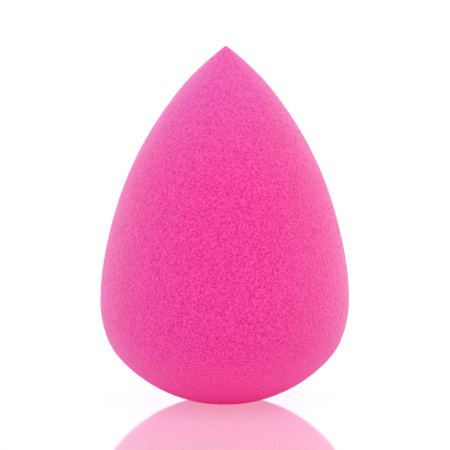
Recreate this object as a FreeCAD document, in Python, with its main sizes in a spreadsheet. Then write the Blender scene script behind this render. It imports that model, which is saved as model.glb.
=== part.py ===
"""Drop-shaped makeup sponge: one moulded piece of fine open-cell foam.

The sponge has a round base that pats on foundation, a full belly, and flanks that
draw in to a pointed tip for the corners of the eyes and nose. Nothing is joined to
the foam and nothing is hidden in it, so the whole product is a single round solid.

Lengths are millimetres. The origin is the centre of the small flat on which the
sponge stands, and +Z runs up through the tip.
"""

import FreeCAD, Part
import math
import os

import Sketcher

PARTS_FOLDER = "parts"
SHEET_LABEL = "sizes"
FULL_TURN = 360.0
MM3_PER_CM3 = 1000.0

# How a sketch numbers the points of a curve, its own origin and its upright axis.
START_INDEX = 1
END_INDEX = 2
CENTRE_INDEX = 3
ORIGIN_POINT = (-1, START_INDEX)
UPRIGHT_AXIS_INDEX = -2

# Alias, value and meaning of each driving dimension.
SIZES = (
    ("height", 60.0, "from the contact flat to the top of the tip"),
    ("belly_diameter", 41.7, "across the widest round of the sponge"),
    ("belly_height", 16.5, "from the contact flat up to the widest round"),
    ("contact_depth", 0.5, "how far the foam of the round base gives where it stands"),
    ("tip_radius", 0.45, "rounding of the pointed tip"),
    ("belly_round_share", 0.85, "radius under the widest round, of its height over the round base"),
)

# Where the arcs of the flank meet, from the belly up. Each place has its name, its share
# of the climb from belly to tip, and its share of the belly's half width.
FLANK_SHARES = (
    ("belly_top", 0.15, 0.977),
    ("low_flank", 0.39, 0.861),
    ("high_flank", 0.66, 0.613),
    ("shoulder", 0.87, 0.297),
)


def sheet_rows():
    """Every row of the spreadsheet: alias, value and meaning."""
    rows = list(SIZES)
    for place, rise_share, reach_share in FLANK_SHARES:
        rows.append((f"{place}_rise_share", rise_share, "of the climb from belly to tip"))
        rows.append((f"{place}_reach_share", reach_share, "of the belly's half width"))
    return rows


def make_sheet(doc):
    """The spreadsheet that holds the driving dimensions, one alias to a row."""
    sheet = doc.addObject("Spreadsheet::Sheet", "Sizes")
    sheet.Label = SHEET_LABEL
    for row, (alias, value, meaning) in enumerate(sheet_rows(), start=1):
        sheet.set(f"A{row}", alias)
        sheet.set(f"B{row}", str(value))
        sheet.set(f"C{row}", meaning)
        sheet.setAlias(f"B{row}", alias)
    doc.recompute()
    return sheet


def cell(alias):
    """The name by which an expression reads a driving dimension."""
    return f"<<{SHEET_LABEL}>>.{alias}"


def origin_feature(body, role):
    """One of the body's own origin planes or axes."""
    return next(feature for feature in body.Origin.OriginFeatures if feature.Role == role)


def arc_centre(start, heading, end):
    """Centre of the arc that leaves start along a unit heading, turns left and reaches end."""
    left = FreeCAD.Vector(-heading.y, heading.x, 0)
    step = end - start
    radius = step.dot(step) / (2 * step.dot(left))
    return start + left * radius


def heading_at(centre, point):
    """Unit direction of travel at a point of an arc that turns left."""
    out = (point - centre).normalize()
    return FreeCAD.Vector(-out.y, out.x, 0)


def half_outline(sheet):
    """The drop's half outline as (centre, start, end) arcs, from the contact flat to the tip.

    x is the distance from the axis and y the height. Each arc leaves the one before it
    without a corner. The sketch starts from these places and its constraints hold them.
    """
    belly_reach = sheet.belly_diameter / 2
    widest = FreeCAD.Vector(belly_reach, sheet.belly_height, 0)

    # The round under the belly, and the base round that wraps it, centred on the axis
    # with its lowest point a contact depth under the flat.
    belly_drop = sheet.belly_height + sheet.contact_depth
    belly_round = sheet.belly_round_share * belly_drop
    belly_centre = FreeCAD.Vector(belly_reach - belly_round, sheet.belly_height, 0)
    base_round = (belly_centre.x**2 + belly_drop**2 - belly_round**2) / (2 * (belly_drop - belly_round))
    base_centre = FreeCAD.Vector(0, base_round - sheet.contact_depth, 0)
    flat_edge = FreeCAD.Vector(math.sqrt(base_round**2 - base_centre.y**2), 0, 0)
    base_end = base_centre + (belly_centre - base_centre).normalize() * base_round
    arcs = [(base_centre, flat_edge, base_end), (belly_centre, base_end, widest)]

    # The flank's arcs, one to each place where two of them meet.
    climb = sheet.height - sheet.belly_height
    start = widest
    heading = FreeCAD.Vector(0, 1, 0)
    for place, _, _ in FLANK_SHARES:
        reach = belly_reach * sheet.get(f"{place}_reach_share")
        rise = climb * sheet.get(f"{place}_rise_share")
        end = FreeCAD.Vector(reach, sheet.belly_height + rise, 0)
        centre = arc_centre(start, heading, end)
        arcs.append((centre, start, end))
        start = end
        heading = heading_at(centre, end)

    # The last arc runs on from the shoulder and meets the tip's own rounding.
    tip_centre = FreeCAD.Vector(0, sheet.height - sheet.tip_radius, 0)
    out = FreeCAD.Vector(heading.y, -heading.x, 0)
    gap = start - tip_centre
    radius = (gap.dot(gap) - sheet.tip_radius**2) / (2 * (gap.dot(out) - sheet.tip_radius))
    centre = start - out * radius
    tip_start = tip_centre + (tip_centre - centre).normalize() * sheet.tip_radius
    arcs.append((centre, start, tip_start))
    arcs.append((tip_centre, tip_start, FreeCAD.Vector(0, sheet.height, 0)))
    return arcs


def sketch_arc(centre, start, end):
    """An arc for the sketch, from start round to the left as far as end."""
    upward = FreeCAD.Vector(0, 0, 1)
    circle = Part.Circle(centre, upward, (start - centre).Length)
    first = math.atan2(start.y - centre.y, start.x - centre.x)
    last = math.atan2(end.y - centre.y, end.x - centre.x)
    return Part.ArcOfCircle(circle, first, last)


def bind(sketch, name, constraint, expression):
    """Adds a named dimension to the sketch and ties it to the spreadsheet."""
    index = sketch.addConstraint(constraint)
    sketch.renameConstraint(index, name)
    sketch.setExpression(f"Constraints.{name}", expression)


def bind_place(sketch, name, curve, reach, height):
    """Ties where a curve ends to its distance from the axis and its height."""
    point = sketch.getPoint(curve, END_INDEX)
    across = Sketcher.Constraint("DistanceX", *ORIGIN_POINT, curve, END_INDEX, point.x)
    upward = Sketcher.Constraint("DistanceY", *ORIGIN_POINT, curve, END_INDEX, point.y)
    bind(sketch, f"{name}_reach", across, reach)
    bind(sketch, f"{name}_height", upward, height)


def draw_outline(sketch, sheet):
    """Fills the sketch with the drop's half outline: the axis, the contact flat and the arcs."""
    arcs = half_outline(sheet)
    foot = FreeCAD.Vector(0, 0, 0)
    flat_edge = arcs[0][1]
    tip_top = arcs[-1][2]
    round_low = FreeCAD.Vector(0, -sheet.contact_depth, 0)

    axis_line = sketch.addGeometry(Part.LineSegment(tip_top, foot), False)
    flat_line = sketch.addGeometry(Part.LineSegment(foot, flat_edge), False)
    curves = [sketch.addGeometry(sketch_arc(*arc), False) for arc in arcs]
    low_point = sketch.addGeometry(Part.Point(round_low), True)
    base, belly, *flank, _, tip = curves

    # The axis and the flat that the sponge stands on.
    sketch.addConstraint(Sketcher.Constraint("Coincident", axis_line, END_INDEX, *ORIGIN_POINT))
    sketch.addConstraint(Sketcher.Constraint("PointOnObject", axis_line, START_INDEX, UPRIGHT_AXIS_INDEX))
    sketch.addConstraint(Sketcher.Constraint("Coincident", flat_line, START_INDEX, axis_line, END_INDEX))
    sketch.addConstraint(Sketcher.Constraint("Horizontal", flat_line))
    sketch.addConstraint(Sketcher.Constraint("Coincident", base, START_INDEX, flat_line, END_INDEX))

    # One smooth outline: every arc runs on from the one below it, up to the tip.
    for lower, higher in zip(curves, curves[1:]):
        sketch.addConstraint(Sketcher.Constraint("Tangent", lower, END_INDEX, higher, START_INDEX))
    sketch.addConstraint(Sketcher.Constraint("Coincident", tip, END_INDEX, axis_line, START_INDEX))

    # The base and the tip are round about the axis, and the belly is widest at its arc's end.
    sketch.addConstraint(Sketcher.Constraint("PointOnObject", base, CENTRE_INDEX, UPRIGHT_AXIS_INDEX))
    sketch.addConstraint(Sketcher.Constraint("PointOnObject", tip, CENTRE_INDEX, UPRIGHT_AXIS_INDEX))
    sketch.addConstraint(Sketcher.Constraint("Horizontal", belly, CENTRE_INDEX, belly, END_INDEX))

    # The base round would reach a contact depth lower if nothing pressed it flat.
    sketch.addConstraint(Sketcher.Constraint("PointOnObject", low_point, START_INDEX, UPRIGHT_AXIS_INDEX))
    sketch.addConstraint(Sketcher.Constraint("PointOnObject", low_point, START_INDEX, base))
    contact = Sketcher.Constraint("DistanceY", low_point, START_INDEX, *ORIGIN_POINT, sheet.contact_depth)
    bind(sketch, "contact_depth", contact, cell("contact_depth"))

    # The overall height, the belly, and the places where the flank's arcs meet.
    upright = Sketcher.Constraint("DistanceY", *ORIGIN_POINT, axis_line, START_INDEX, sheet.height)
    bind(sketch, "height", upright, cell("height"))
    belly_reach = f"{cell('belly_diameter')} / 2"
    bind_place(sketch, "belly", belly, belly_reach, cell("belly_height"))
    climb = f"({cell('height')} - {cell('belly_height')})"
    for curve, (place, _, _) in zip(flank, FLANK_SHARES):
        reach = f"{belly_reach} * {cell(f'{place}_reach_share')}"
        height = f"{cell('belly_height')} + {climb} * {cell(f'{place}_rise_share')}"
        bind_place(sketch, place, curve, reach, height)

    # The two rounds that have a radius of their own.
    belly_centre, _, widest = arcs[1]
    belly_drop = f"({cell('belly_height')} + {cell('contact_depth')})"
    belly_round = Sketcher.Constraint("Radius", belly, (widest - belly_centre).Length)
    bind(sketch, "belly_round", belly_round, f"{cell('belly_round_share')} * {belly_drop}")
    tip_round = Sketcher.Constraint("Radius", tip, sheet.tip_radius)
    bind(sketch, "tip_round", tip_round, cell("tip_radius"))


def make_sponge(doc, sheet):
    """The sponge: its half outline turned once round the axis."""
    body = doc.addObject("PartDesign::Body", "SpongeBody")
    body.Label = "sponge_body"

    outline = body.newObject("Sketcher::SketchObject", "DropOutline")
    outline.AttachmentSupport = [(origin_feature(body, "XZ_Plane"), "")]
    outline.MapMode = "FlatFace"
    draw_outline(outline, sheet)
    doc.recompute()

    foam = body.newObject("PartDesign::Revolution", "Foam")
    foam.Profile = outline
    foam.ReferenceAxis = (outline, ["V_Axis"])
    foam.Angle = FULL_TURN
    body.Tip = foam
    doc.recompute()
    return body


def check(doc, pieces):
    """Stops before anything is written if a feature failed or a solid isn't sound."""
    for item in doc.Objects:
        if {"Invalid", "Error"} & set(item.State):
            raise RuntimeError(f"{item.Label} failed: {item.State}")
    for sketch in doc.findObjects("Sketcher::SketchObject"):
        if not sketch.FullyConstrained:
            raise RuntimeError(f"{sketch.Label} isn't fully constrained")
    for piece in pieces:
        if piece.Shape.isNull() or not piece.Shape.isValid():
            raise RuntimeError(f"{piece.Label} has no sound shape")
        if len(piece.Shape.Solids) != 1:
            raise RuntimeError(f"{piece.Label} isn't one solid")


def main():
    doc = FreeCAD.newDocument("MakeupSponge")
    sheet = make_sheet(doc)
    pieces = [make_sponge(doc, sheet)]
    check(doc, pieces)
    os.makedirs(PARTS_FOLDER, exist_ok=True)
    for piece in pieces:
        piece.Shape.exportStep(os.path.join(PARTS_FOLDER, f"{piece.Label}.step"))
        box = piece.Shape.BoundBox
        volume = piece.Shape.Volume / MM3_PER_CM3
        centre_height = piece.Shape.CenterOfMass.z
        print(f"{piece.Label}: {box.XLength:.2f} x {box.YLength:.2f} x {box.ZLength:.2f} mm")
        print(f"{piece.Label}: {volume:.2f} cm3, centre of mass {centre_height:.2f} mm up")
    return doc


main()
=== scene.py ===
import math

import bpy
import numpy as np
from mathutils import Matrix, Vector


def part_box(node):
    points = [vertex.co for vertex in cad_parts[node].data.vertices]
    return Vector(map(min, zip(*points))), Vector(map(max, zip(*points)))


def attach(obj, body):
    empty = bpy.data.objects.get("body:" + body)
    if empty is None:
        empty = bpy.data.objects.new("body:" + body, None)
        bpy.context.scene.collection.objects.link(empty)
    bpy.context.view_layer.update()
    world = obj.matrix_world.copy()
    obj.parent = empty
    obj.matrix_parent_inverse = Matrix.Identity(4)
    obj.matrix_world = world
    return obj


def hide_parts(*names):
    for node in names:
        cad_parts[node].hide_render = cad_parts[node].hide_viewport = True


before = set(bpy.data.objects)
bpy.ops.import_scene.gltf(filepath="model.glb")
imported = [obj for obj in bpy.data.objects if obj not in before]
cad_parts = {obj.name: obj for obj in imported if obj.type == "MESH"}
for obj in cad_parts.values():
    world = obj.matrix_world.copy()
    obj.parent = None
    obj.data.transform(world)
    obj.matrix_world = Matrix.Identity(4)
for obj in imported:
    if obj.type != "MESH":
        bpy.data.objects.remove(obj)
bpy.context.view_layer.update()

# A drop-shaped makeup sponge of fine open-cell foam, standing on a pale glossy table.
#
# The foam is one closed mesh: a ball of ten diamond-shaped grids, laid evenly over the
# sponge's own outline, with its cells pressed into it. Lengths are metres, and a length
# in millimetres is written times MM.

MM = 0.001

# The sponge's outline, as the solid that it stands for has it.
solid_low, solid_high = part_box("sponge_body")
HEIGHT = solid_high.z - solid_low.z
BELLY_REACH = (solid_high.x - solid_low.x) / 2
BELLY_HEIGHT = 16.5 * MM
CONTACT_DEPTH = 0.5 * MM
TIP_RADIUS = 0.45 * MM
BELLY_ROUND_SHARE = 0.85
MIDDLE = (0.0, 0.0, HEIGHT / 2)

# Where the arcs of the flank meet: share of the climb from belly to tip, and of the
# belly's half width.
FLANK_SHARES = ((0.15, 0.977), (0.39, 0.861), (0.66, 0.613), (0.87, 0.297))

# How many places on each arc the mesh is laid by.
OUTLINE_STEPS = 400

# The foam's own small departures from a true round: how far the tip leans and where the
# lean starts, three swells with the shares of the height at which they lie and over which
# they spread, and three waves with the crests that each has round the sponge, the half
# waves by which it shifts from base to tip, and the angle at which it starts.
TIP_LEAN = 0.2 * MM
STRAIGHT_CLIMB_SHARE = 0.3
SWELL_DEPTHS = (0.13 * MM, 0.145 * MM, 0.1 * MM)
SWELL_CLIMB_SHARES = (0.155, 0.62, 0.9)
SWELL_SPREAD_SHARES = (0.035, 0.14, 0.05)
WAVE_DEPTH = 0.035 * MM
WAVE_CRESTS = (2, 4, 6)
WAVE_SHIFTS = (2.0, 5.0, 3.0)
WAVE_STARTS = (0.4, 2.1, 4.4)

# The grid of one diamond, and the digits by which two points of the ball are told apart.
GRID_STEPS = 99
MERGE_DIGITS = 7

# The foam's cells: how far they usually stray along the surface and lie in or out of it,
# the most that they stray in units of that, how much deeper pits are than rims are high,
# and where they start to fade towards the tip.
SEED = 4127
CELL_JITTER = 0.035 * MM
MOST_JITTER = 2.0
CELL_DEPTH = 0.025 * MM
PIT_SKEW_SHARE = 0.12
SMOOTH_TIP_SHARE = 0.85

# The flat layout of the diamonds, one to a cell, with a margin round each.
LAYOUT_COLUMNS = 4
LAYOUT_ROWS = 3
LAYOUT_MARGIN_SHARE = 0.012

# The photograph's frame, in its own pixels.
FRAME_PIXELS = 450
TIP_ROW = 46.0
BASE_ROW = 404.6
MIDDLE_COLUMN = 224.7

# The camera, and the direction in which it looks. The sensor's width is in millimetres, as
# is the length of the lens that goes with it.
CAMERA_TILT = math.radians(8.0)
CAMERA_DISTANCE = 1.0
SENSOR_WIDTH = 36.0
NEAREST_SEEN = 10 * MM
SIGHT = (0.0, math.cos(CAMERA_TILT), -math.sin(CAMERA_TILT))

# The light: how bright the surround is level with the table and high up, and two soft
# lamps, with their power in watts.
WHITE = (1.0, 1.0, 1.0, 1.0)
LOW_LIGHT = 0.3
HIGH_LIGHT = 1.175
HIGH_LIGHT_CLIMB_SHARE = 0.6
LAMP_WIDTH = 0.8
TOP_PLACE = (0.45, -0.15, 1.05)
TOP_POWER = 2.4
TOP_COLOUR = (1.0, 1.0, 1.0)
LEFT_PLACE = (-1.1, -0.4, 0.7)
LEFT_POWER = 2.55
LEFT_COLOUR = (0.18, 0.7, 1.0)

# The foam's colours, from the bottom of a pit to the top of a rim, with the colour of the
# foam as a whole at the middle tone. The deeper pink of the pits is painted shade, and the
# paler pink of the rims is painted sheen. The tones shift up to make up for the dark pores,
# and the mesh's own cells join them by a share of their depth.
PIT_SHADE_COLOUR = (0.71, 0.0, 0.2, 1.0)
FOAM_COLOUR = (0.85, 0.015, 0.266, 1.0)
RIM_SHEEN_COLOUR = (0.93, 0.07, 0.37, 1.0)
MIDDLE_TONE = 0.5
TONE_SHIFT_SHARE = 0.145
CELL_TONE_SHARE = 0.1

# Painted light towards the tip, which makes it paler as light from above would: what it
# adds to the red, green and blue, where that starts, how much it smooths the tones, and
# how much more of it the rims take than the pits.
TIP_PAINTED_LIGHT = (-0.085, 0.038, 0.06)
TIP_START_SHARE = 0.6
TIP_SMOOTH_SHARE = 0.1
TIP_GRAIN_SHARE = 0.4

# The foam's grain, which takes in the noise within a span to either side of its middle, and
# its open pores. A pore is darkest within the first share of a cell from its middle, ends
# at the second, and is as deep as the third times the grain.
GRAIN_TURN = (0.5, 0.9, 0.3)
GRAIN_PER_METRE = 5000.0
GRAIN_DETAIL = 0.0
GRAIN_SPAN = 0.36
PORES_PER_METRE = 2300.0
PORE_CORE_SHARE = 0.1
PORE_EDGE_SHARE = 0.5
PORE_SHARE = 2.2

# The foam's finish.
BUMP_STRENGTH = 0.4
BUMP_DEPTH = 0.12 * MM
PIT_ROUGHNESS = 0.98
RIM_ROUGHNESS = 0.84
SPECULAR_LEVEL = 0.1
SHEEN_WEIGHT = 0.8
SHEEN_ROUGHNESS = 0.57
SHEEN_TINT = (1.0, 0.6, 0.87, 1.0)

# The table, as it lights the sponge and as it is seen.
FLOOR_REACH = 4.0
FLOOR_GAP = 0.02 * MM
FLOOR_COLOUR = 0.93
FLOOR_SEEN_COLOUR = 0.28
FLOOR_SEEN_GLOW = 0.78
FLOOR_GLOSS_SHARE = 0.9
FLOOR_ROUGHNESS = 0.06

# A painted pool of pink light on the table under the sponge, a pink colour and a glow of
# its own that light the foot as the polish would send its pink back up, and a painted
# reflection, a faint pink glow added to the polish itself: how far from the foot's middle
# each is full, and where it ends.
POOL_COLOUR = (0.95, 0.0, 0.8, 1.0)
POOL_FULL_REACH = 14.0 * MM
POOL_REACH = 34.0 * MM
POOL_GLOW_COLOUR = (0.95, 0.0, 0.33, 1.0)
POOL_GLOW_REACH = 35.0 * MM
POOL_GLOW = 0.4
# Painted reflection: the colour of the pink glow added to the polish.
PAINTED_REFLECTION_COLOUR = (0.1, 0.0, 0.15, 1.0)
PAINTED_REFLECTION_FULL_REACH = 15.0 * MM
PAINTED_REFLECTION_REACH = 60.0 * MM


def unit(vector):
    return vector / np.linalg.norm(vector)


def arc_centre(start, heading, end):
    """Centre of the arc that leaves start along a unit heading, turns left and reaches end."""
    left = np.array([-heading[1], heading[0]])
    step = end - start
    radius = step @ step / (2 * step @ left)
    return start + left * radius


def half_outline():
    """The sponge's half outline as (centre, start, end) arcs, each point a reach and a height."""
    widest = np.array([BELLY_REACH, BELLY_HEIGHT])

    # The round under the belly, and the base round that wraps it.
    drop = BELLY_HEIGHT + CONTACT_DEPTH
    belly_round = BELLY_ROUND_SHARE * drop
    belly_centre = np.array([BELLY_REACH - belly_round, BELLY_HEIGHT])
    base_round = (belly_centre[0] ** 2 + drop**2 - belly_round**2) / (2 * (drop - belly_round))
    base_centre = np.array([0.0, base_round - CONTACT_DEPTH])
    flat_edge = np.array([math.sqrt(base_round**2 - base_centre[1] ** 2), 0.0])
    base_end = base_centre + unit(belly_centre - base_centre) * base_round
    arcs = [(base_centre, flat_edge, base_end), (belly_centre, base_end, widest)]

    # The flank's arcs.
    climb = HEIGHT - BELLY_HEIGHT
    start = widest
    heading = np.array([0.0, 1.0])
    for climb_share, reach_share in FLANK_SHARES:
        end = np.array([BELLY_REACH * reach_share, BELLY_HEIGHT + climb * climb_share])
        centre = arc_centre(start, heading, end)
        arcs.append((centre, start, end))
        start = end
        outward = unit(end - centre)
        heading = np.array([-outward[1], outward[0]])

    # The last arc meets the tip's own rounding.
    tip_centre = np.array([0.0, HEIGHT - TIP_RADIUS])
    gap = start - tip_centre
    radius = (gap @ gap - TIP_RADIUS**2) / (2 * (gap @ outward - TIP_RADIUS))
    centre = start - outward * radius
    tip_start = tip_centre + unit(tip_centre - centre) * TIP_RADIUS
    arcs.append((centre, start, tip_start))
    arcs.append((tip_centre, tip_start, np.array([0.0, HEIGHT])))
    return arcs


def outline_table():
    """Close places along the outline, from the middle of the contact flat to the tip.

    Gives each one's reach and height, its outward direction, and the share of the whole
    surface that lies below it.
    """
    arcs = half_outline()
    flat_edge = arcs[0][1]
    along = np.linspace(0.0, 1.0, OUTLINE_STEPS, endpoint=False)
    places = [along[:, None] * flat_edge]
    outward = [np.tile([0.0, -1.0], (OUTLINE_STEPS, 1))]
    for centre, start, end in arcs:
        first = math.atan2(*(start - centre)[::-1])
        last = math.atan2(*(end - centre)[::-1])
        angle = first + (last - first) * along
        direction = np.stack([np.cos(angle), np.sin(angle)], axis=1)
        places.append(centre + direction * np.linalg.norm(start - centre))
        outward.append(direction)
    places = np.concatenate(places + [[[0.0, HEIGHT]]])
    outward = np.concatenate(outward + [[[0.0, 1.0]]])
    step = np.linalg.norm(np.diff(places, axis=0), axis=1)
    band = step * (places[1:, 0] + places[:-1, 0])
    area_share = np.concatenate([[0.0], np.cumsum(band)])
    return places, outward, area_share / area_share[-1]


def ball_ring(height, turn):
    """Five corners of a twenty-faced ball at one height, turned by a share of their spacing."""
    reach = 2 / math.sqrt(5)
    angles = [2 * math.pi * (side + turn) / 5 for side in range(5)]
    return [np.array([reach * math.cos(angle), reach * math.sin(angle), height]) for angle in angles]


def ball_diamonds():
    """The ten diamonds of a twenty-faced ball, as the unit vectors of their four corners.

    The corners are in order round each diamond, and its short diagonal joins the
    second and the fourth. One ball corner is the tip, and its opposite the base.
    """
    top = np.array([0.0, 0.0, 1.0])
    upper = ball_ring(1 / math.sqrt(5), 0.0)
    lower = ball_ring(-1 / math.sqrt(5), 0.5)
    diamonds = []
    for side in range(5):
        after = (side + 1) % 5
        diamonds.append((top, upper[side], lower[side], upper[after]))
        diamonds.append((upper[after], lower[side], -top, lower[after]))
    return diamonds


def layout_place(index, across, along):
    """Where a diamond's points lie in the flat layout, as shares of its width and height."""
    column = index % LAYOUT_COLUMNS
    row = index // LAYOUT_COLUMNS
    inner = 1 - 2 * LAYOUT_MARGIN_SHARE
    width_share = (column + LAYOUT_MARGIN_SHARE + inner * across) / LAYOUT_COLUMNS
    height_share = (row + LAYOUT_MARGIN_SHARE + inner * along) / LAYOUT_ROWS
    return np.stack([width_share, height_share], axis=1)


def ball_grid():
    """Points of the ball, its triangles, and each triangle corner's place in the flat layout."""
    step = np.arange(GRID_STEPS + 1)
    across, along = (line.ravel() / GRID_STEPS for line in np.meshgrid(step, step, indexing="ij"))

    # Two triangles to a grid cell, split across its short diagonal.
    row = GRID_STEPS + 1
    cell = np.arange(GRID_STEPS)
    corner = (cell[:, None] * row + cell[None, :]).ravel()
    near = np.stack([corner, corner + row, corner + 1], axis=1)
    far = np.stack([corner + row, corner + row + 1, corner + 1], axis=1)
    grid_triangles = np.concatenate([near, far])

    points = []
    triangles = []
    layout = []
    to_second = across[:, None]
    to_fourth = along[:, None]
    near_half = to_second + to_fourth <= 1
    for index, (first, second, third, fourth) in enumerate(ball_diamonds()):
        # Straight blends inside either half of the diamond, then out to the ball.
        near_point = first * (1 - to_second - to_fourth) + second * to_second + fourth * to_fourth
        far_point = (
            third * (to_second + to_fourth - 1) + second * (1 - to_fourth) + fourth * (1 - to_second)
        )
        point = np.where(near_half, near_point, far_point)
        points.append(point / np.linalg.norm(point, axis=1, keepdims=True))
        triangles.append(grid_triangles + index * len(across))
        layout.append(layout_place(index, across, along))
    points = np.concatenate(points)
    triangles = np.concatenate(triangles)
    layout = np.concatenate(layout)[triangles]

    # Diamonds share the points along their edges.
    _, keep, same = np.unique(points.round(MERGE_DIGITS), axis=0, return_index=True, return_inverse=True)
    return points[keep], same.ravel()[triangles], layout


def standing_out(climb, turn):
    """How far the foam stands out from a true round, by its share of the height and its angle."""
    swells = zip(SWELL_DEPTHS, SWELL_CLIMB_SHARES, SWELL_SPREAD_SHARES)
    swell = sum(depth * np.exp(-(((climb - middle) / spread) ** 2)) for depth, middle, spread in swells)
    waves = zip(WAVE_CRESTS, WAVE_SHIFTS, WAVE_STARTS)
    wave = sum(np.sin(crests * turn + shift * climb * math.pi + start) for crests, shift, start in waves)
    return swell + WAVE_DEPTH * wave * np.sin(climb * math.pi)


def sponge_mesh():
    """The sponge's mesh, with its cells pressed in."""
    ball, triangles, layout = ball_grid()
    places, outward, area_share = outline_table()

    # Each point of the ball goes to the place on the outline with as much surface below it.
    share = (1 + ball[:, 2]) / 2
    reach = np.interp(share, area_share, places[:, 0])
    height = np.interp(share, area_share, places[:, 1])
    out_reach = np.interp(share, area_share, outward[:, 0])
    out_height = np.interp(share, area_share, outward[:, 1])
    turn = np.arctan2(ball[:, 1], ball[:, 0])
    round_x = np.cos(turn)
    round_y = np.sin(turn)
    normal = np.stack([out_reach * round_x, out_reach * round_y, out_height], axis=1)
    normal /= np.linalg.norm(normal, axis=1, keepdims=True)
    side = np.stack([-round_y, round_x, np.zeros(len(ball))], axis=1)
    upward = np.cross(normal, side)

    # Small departures from a true round, and the tip's lean.
    climb = height / HEIGHT
    point = np.stack([reach * round_x, reach * round_y, height], axis=1)
    point += normal * standing_out(climb, turn)[:, None]
    point[:, 0] += TIP_LEAN * np.interp(climb, (STRAIGHT_CLIMB_SHARE, 1.0), (0.0, 1.0))

    # The cells, which stray along the surface and lie in or out of it.
    rng = np.random.default_rng(SEED)
    jitter = np.clip(rng.standard_normal((2, len(ball))), -MOST_JITTER, MOST_JITTER) * CELL_JITTER
    point += side * jitter[0][:, None] + upward * jitter[1][:, None]
    depth = rng.standard_normal(len(ball))
    depth = depth + PIT_SKEW_SHARE * (depth**2 - 1)
    depth *= np.interp(climb, (SMOOTH_TIP_SHARE, 1.0), (1.0, 0.0))
    point -= normal * (depth * CELL_DEPTH)[:, None]
    point[:, 2] = np.clip(point[:, 2], 0.0, HEIGHT)

    mesh = bpy.data.meshes.new("sponge")
    mesh.from_pydata(point.tolist(), [], triangles.tolist())
    mesh.polygons.foreach_set("use_smooth", np.ones(len(triangles), bool))
    flat = mesh.uv_layers.new(name="OFBake")
    flat.data.foreach_set("uv", layout.reshape(-1).astype(np.float32))
    cell_depth = mesh.attributes.new("cell_depth", "FLOAT", "POINT")
    cell_depth.data.foreach_set("value", depth.astype(np.float32))
    mesh.update()
    mesh.validate()
    return mesh


class Nodes:
    """Short ways to add nodes to one material or world and to join them."""

    def __init__(self, owner):
        owner.use_nodes = True
        self.tree = owner.node_tree
        self.tree.nodes.clear()

    def add(self, kind, inputs=None, **settings):
        """A node with its settings made, and its inputs set or joined by name or number."""
        node = self.tree.nodes.new(kind)
        for name, value in settings.items():
            setattr(node, name, value)
        for name, value in (inputs or {}).items():
            if isinstance(value, bpy.types.NodeSocket):
                self.tree.links.new(value, node.inputs[name])
            else:
                node.inputs[name].default_value = value
        return node

    def math(self, operation, first, second, third=0.0):
        inputs = {0: first, 1: second, 2: third}
        return self.add("ShaderNodeMath", inputs, operation=operation).outputs[0]

    def spread(self, value, start, end, low, high, curve="LINEAR"):
        """A number that goes from low to high as the value goes from start to end."""
        inputs = {"Value": value, "From Min": start, "From Max": end, "To Min": low, "To Max": high}
        return self.add("ShaderNodeMapRange", inputs, interpolation_type=curve).outputs["Result"]

    def fade(self, value, start, end, low, high):
        """The same, with a soft start and a soft end."""
        return self.spread(value, start, end, low, high, curve="SMOOTHSTEP")

    def glowing(self, surface, colour, strength):
        """A surface's shader, with a light of its own added to it."""
        light = self.add("ShaderNodeEmission", {"Color": colour, "Strength": strength})
        inputs = {0: surface.outputs["BSDF"], 1: light.outputs["Emission"]}
        return self.add("ShaderNodeAddShader", inputs).outputs["Shader"]

    def mix(self, share, first, second):
        """The first shader, with a share of the second in its place."""
        return self.add("ShaderNodeMixShader", {0: share, 1: first, 2: second}).outputs["Shader"]

    def seen(self):
        """One where the camera sees this, straight, in a reflection or through glass, else zero."""
        path = self.add("ShaderNodeLightPath")
        seen = self.math("MAXIMUM", path.outputs["Is Camera Ray"], path.outputs["Is Glossy Ray"])
        return self.math("MAXIMUM", seen, path.outputs["Is Transmission Ray"])


def foam_relief(nodes, place):
    """The foam's grain, from 0 at its lowest to 1 at its highest, and its height with the pores."""
    # Both are turned, so that they have no rows level with the table.
    turned = nodes.add("ShaderNodeMapping", {"Vector": place, "Rotation": GRAIN_TURN}).outputs["Vector"]
    inputs = {"Vector": turned, "Scale": GRAIN_PER_METRE, "Detail": GRAIN_DETAIL}
    noise = nodes.add("ShaderNodeTexNoise", inputs).outputs["Fac"]
    grain = nodes.spread(noise, MIDDLE_TONE - GRAIN_SPAN, MIDDLE_TONE + GRAIN_SPAN, 0.0, 1.0)

    # Open pores, each with a depth of its own, from 0 between them to 1 at their middles; in
    # the colour, that depth becomes painted shade.
    cells = nodes.add("ShaderNodeTexVoronoi", {"Vector": turned, "Scale": PORES_PER_METRE})
    pore = nodes.fade(cells.outputs["Distance"], PORE_CORE_SHARE, PORE_EDGE_SHARE, 1.0, 0.0)
    darkness = nodes.add("ShaderNodeSeparateColor", {"Color": cells.outputs["Color"]}).outputs["Red"]
    pore = nodes.math("MULTIPLY", pore, darkness)
    return grain, nodes.math("MULTIPLY_ADD", pore, -PORE_SHARE, grain)


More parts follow.
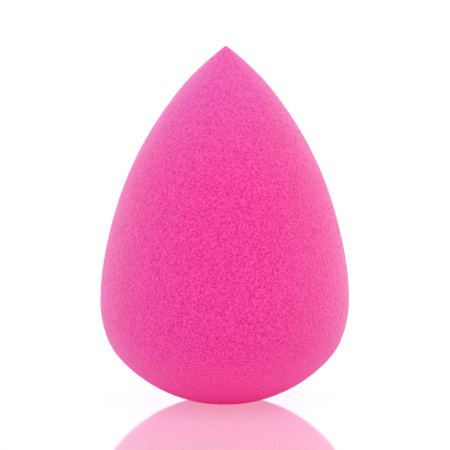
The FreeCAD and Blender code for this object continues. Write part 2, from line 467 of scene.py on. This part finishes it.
def foam_colour(nodes, place, height):
    """The foam's colour: deeper pink in its pits by painted shade, paler on its rims by painted
    sheen, and paler towards its tip by painted light.
    """
    # Towards the tip the tones are smoother, and paler by painted light.
    climb = nodes.add("ShaderNodeSeparateXYZ", {"Vector": place}).outputs["Z"]
    tip_share = nodes.fade(climb, HEIGHT * TIP_START_SHARE, HEIGHT, 0.0, 1.0)
    contrast = nodes.math("MULTIPLY_ADD", tip_share, -TIP_SMOOTH_SHARE, 1.0)

    # A tone from the relief, which the cells of the mesh join: its low end is painted shade in
    # the pits, its high end painted sheen on the rims.
    depth = nodes.add("ShaderNodeAttribute", attribute_name="cell_depth").outputs["Fac"]
    tone = nodes.math("MULTIPLY_ADD", depth, -CELL_TONE_SHARE, height)
    tone = nodes.math("ADD", tone, TONE_SHIFT_SHARE - MIDDLE_TONE)
    tone = nodes.math("MULTIPLY_ADD", tone, contrast, MIDDLE_TONE)
    ramp = nodes.add("ShaderNodeValToRGB", {"Fac": tone})
    # Painted shade at the pit end, painted sheen at the rim end, the foam's own colour between.
    ramp.color_ramp.elements[0].color = PIT_SHADE_COLOUR
    ramp.color_ramp.elements[1].color = RIM_SHEEN_COLOUR
    ramp.color_ramp.elements.new(MIDDLE_TONE).color = FOAM_COLOUR

    # Painted light that makes the foam paler towards the tip.
    tip_light = nodes.math("MULTIPLY_ADD", tone, TIP_GRAIN_SHARE, 1 - TIP_GRAIN_SHARE * MIDDLE_TONE)
    tip_light = nodes.math("MULTIPLY", tip_light, tip_share)
    inputs = {0: tip_light, 1: TIP_PAINTED_LIGHT, 2: ramp.outputs["Color"]}
    return nodes.add("ShaderNodeVectorMath", inputs, operation="MULTIPLY_ADD").outputs["Vector"]


def foam_material():
    """Soft pink foam: deeper pink in its cells by painted shade, with a fine grain and a pale sheen."""
    material = bpy.data.materials.new("pink_foam")
    nodes = Nodes(material)
    place = nodes.add("ShaderNodeTexCoord").outputs["Object"]
    grain, height = foam_relief(nodes, place)
    inputs = {"Height": height, "Strength": BUMP_STRENGTH, "Distance": BUMP_DEPTH}
    bumps = nodes.add("ShaderNodeBump", inputs).outputs["Normal"]
    foam = nodes.add(
        "ShaderNodeBsdfPrincipled",
        {
            "Base Color": foam_colour(nodes, place, height),
            "Roughness": nodes.spread(grain, 0.0, 1.0, PIT_ROUGHNESS, RIM_ROUGHNESS),
            "Normal": bumps,
            "Specular IOR Level": SPECULAR_LEVEL,
            "Sheen Weight": SHEEN_WEIGHT,
            "Sheen Roughness": SHEEN_ROUGHNESS,
            "Sheen Tint": SHEEN_TINT,
        },
    )
    nodes.add("ShaderNodeOutputMaterial", {"Surface": foam.outputs["BSDF"]})
    return material


def table_material():
    """A pale polished table.

    As it is seen, it is white, with a polish that grows towards a low angle and a painted
    reflection, a faint pink glow in the polish near the foot. As it lights the sponge, it is
    a plain pale white, with a painted pool of glowing pink light near the foot.
    """
    material = bpy.data.materials.new("pale_table")
    nodes = Nodes(material)
    seen = nodes.seen()
    place = nodes.add("ShaderNodeTexCoord").outputs["Object"]
    distance = nodes.add("ShaderNodeVectorMath", {0: place}, operation="LENGTH").outputs["Value"]

    # The table's own colour.
    colour = nodes.spread(seen, 0.0, 1.0, FLOOR_COLOUR, FLOOR_SEEN_COLOUR)
    matte = nodes.add("ShaderNodeBsdfDiffuse", {"Color": colour})
    pale = nodes.glowing(matte, WHITE, nodes.math("MULTIPLY", seen, FLOOR_SEEN_GLOW))

    # The painted pool of pink light, which isn't seen.
    near = nodes.fade(distance, POOL_FULL_REACH, POOL_REACH, 1.0, 0.0)
    near = nodes.math("MULTIPLY", near, nodes.math("SUBTRACT", 1.0, seen))
    glow = nodes.fade(distance, 0.0, POOL_GLOW_REACH, POOL_GLOW, 0.0)
    # Painted pink light: a pink colour and a glow of its own on the table near the foot.
    pink = nodes.add("ShaderNodeBsdfDiffuse", {"Color": POOL_COLOUR})
    pink = nodes.glowing(pink, POOL_GLOW_COLOUR, glow)
    pale = nodes.mix(near, pale, pink)

    # The polish, with a painted reflection, a faint pink glow, added to it where the sponge stands.
    reflection_glow = nodes.fade(distance, PAINTED_REFLECTION_FULL_REACH, PAINTED_REFLECTION_REACH, 1.0, 0.0)
    gloss = nodes.add("ShaderNodeBsdfAnisotropic", {"Color": WHITE, "Roughness": FLOOR_ROUGHNESS})
    gloss = nodes.glowing(gloss, PAINTED_REFLECTION_COLOUR, reflection_glow)
    facing = nodes.add("ShaderNodeLayerWeight").outputs["Facing"]
    share = nodes.math("MULTIPLY", facing, facing)
    share = nodes.math("MULTIPLY", share, FLOOR_GLOSS_SHARE)
    share = nodes.math("MULTIPLY", share, seen)
    nodes.add("ShaderNodeOutputMaterial", {"Surface": nodes.mix(share, pale, gloss)})
    return material


def add_object(name, data):
    """A new object in the scene, at the origin."""
    item = bpy.data.objects.new(name, data)
    bpy.context.scene.collection.objects.link(item)
    return item


def add_sponge():
    sponge = add_object("sponge", sponge_mesh())
    sponge.data.materials.append(foam_material())
    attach(sponge, "root")
    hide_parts("sponge_body")


def add_floor():
    """The table, wide enough to fill the view, and a hair clear of the sponge's flat."""
    sides = ((-1, -1), (1, -1), (1, 1), (-1, 1))
    corners = [(x * FLOOR_REACH, y * FLOOR_REACH, -FLOOR_GAP) for x, y in sides]
    mesh = bpy.data.meshes.new("floor")
    mesh.from_pydata(corners, [], [(0, 1, 2, 3)])
    mesh.materials.append(table_material())
    floor = add_object("floor", mesh)


def add_world():
    """White all round. The sponge's own light from there is dimmer, most of all low down."""
    world = bpy.data.worlds.new("studio")
    bpy.context.scene.world = world
    nodes = Nodes(world)
    direction = nodes.add("ShaderNodeTexCoord").outputs["Generated"]
    climb = nodes.add("ShaderNodeSeparateXYZ", {"Vector": direction}).outputs["Z"]
    light = nodes.fade(climb, 0.0, HIGH_LIGHT_CLIMB_SHARE, LOW_LIGHT, HIGH_LIGHT)
    strength = nodes.spread(nodes.seen(), 0.0, 1.0, light, 1.0)
    surround = nodes.add("ShaderNodeBackground", {"Color": WHITE, "Strength": strength})
    nodes.add("ShaderNodeOutputWorld", {"Surface": surround.outputs["Background"]})


def add_lamp(name, place, power, colour):
    """A soft square lamp that faces the middle of the sponge."""
    light = bpy.data.lights.new(name, "AREA")
    light.shape = "SQUARE"
    light.size = LAMP_WIDTH
    light.energy = power
    light.color = colour
    lamp = add_object(name, light)
    lamp.location = place
    towards = Vector(MIDDLE) - lamp.location
    lamp.rotation_euler = towards.to_track_quat("-Z", "Y").to_euler()


def seen_span():
    """How high and how low the sponge reaches for the camera, as slopes from its line of sight."""
    away = np.array(SIGHT)
    up = np.array([0.0, math.sin(CAMERA_TILT), math.cos(CAMERA_TILT)])
    eye = np.array(MIDDLE) - CAMERA_DISTANCE * away
    reach, height = outline_table()[0].T
    slopes = []
    for side in (-1, 1):
        points = np.stack([0 * reach, side * reach, height], axis=1) - eye
        slopes.append(points @ up / (points @ away))
    return np.max(slopes), np.min(slopes)


def add_camera():
    """The photograph's view, with the tip and the base on the rows that they have there."""
    highest, lowest = seen_span()
    pixels_per_slope = (BASE_ROW - TIP_ROW) / (highest - lowest)
    sight_row = TIP_ROW + highest * pixels_per_slope
    view = bpy.data.cameras.new("camera")
    view.sensor_width = SENSOR_WIDTH
    view.lens = SENSOR_WIDTH * pixels_per_slope / FRAME_PIXELS
    view.shift_x = (FRAME_PIXELS / 2 - MIDDLE_COLUMN) / FRAME_PIXELS
    view.shift_y = (sight_row - FRAME_PIXELS / 2) / FRAME_PIXELS
    view.clip_start = NEAREST_SEEN
    camera = add_object("camera", view)
    camera.location = Vector(MIDDLE) - CAMERA_DISTANCE * Vector(SIGHT)
    camera.rotation_euler = (math.pi / 2 - CAMERA_TILT, 0, 0)
    bpy.context.scene.camera = camera


bpy.context.scene.view_settings.view_transform = "Standard"
add_camera()
add_world()
add_lamp("top", TOP_PLACE, TOP_POWER, TOP_COLOUR)
add_lamp("left", LEFT_PLACE, LEFT_POWER, LEFT_COLOUR)
add_floor()
add_sponge()
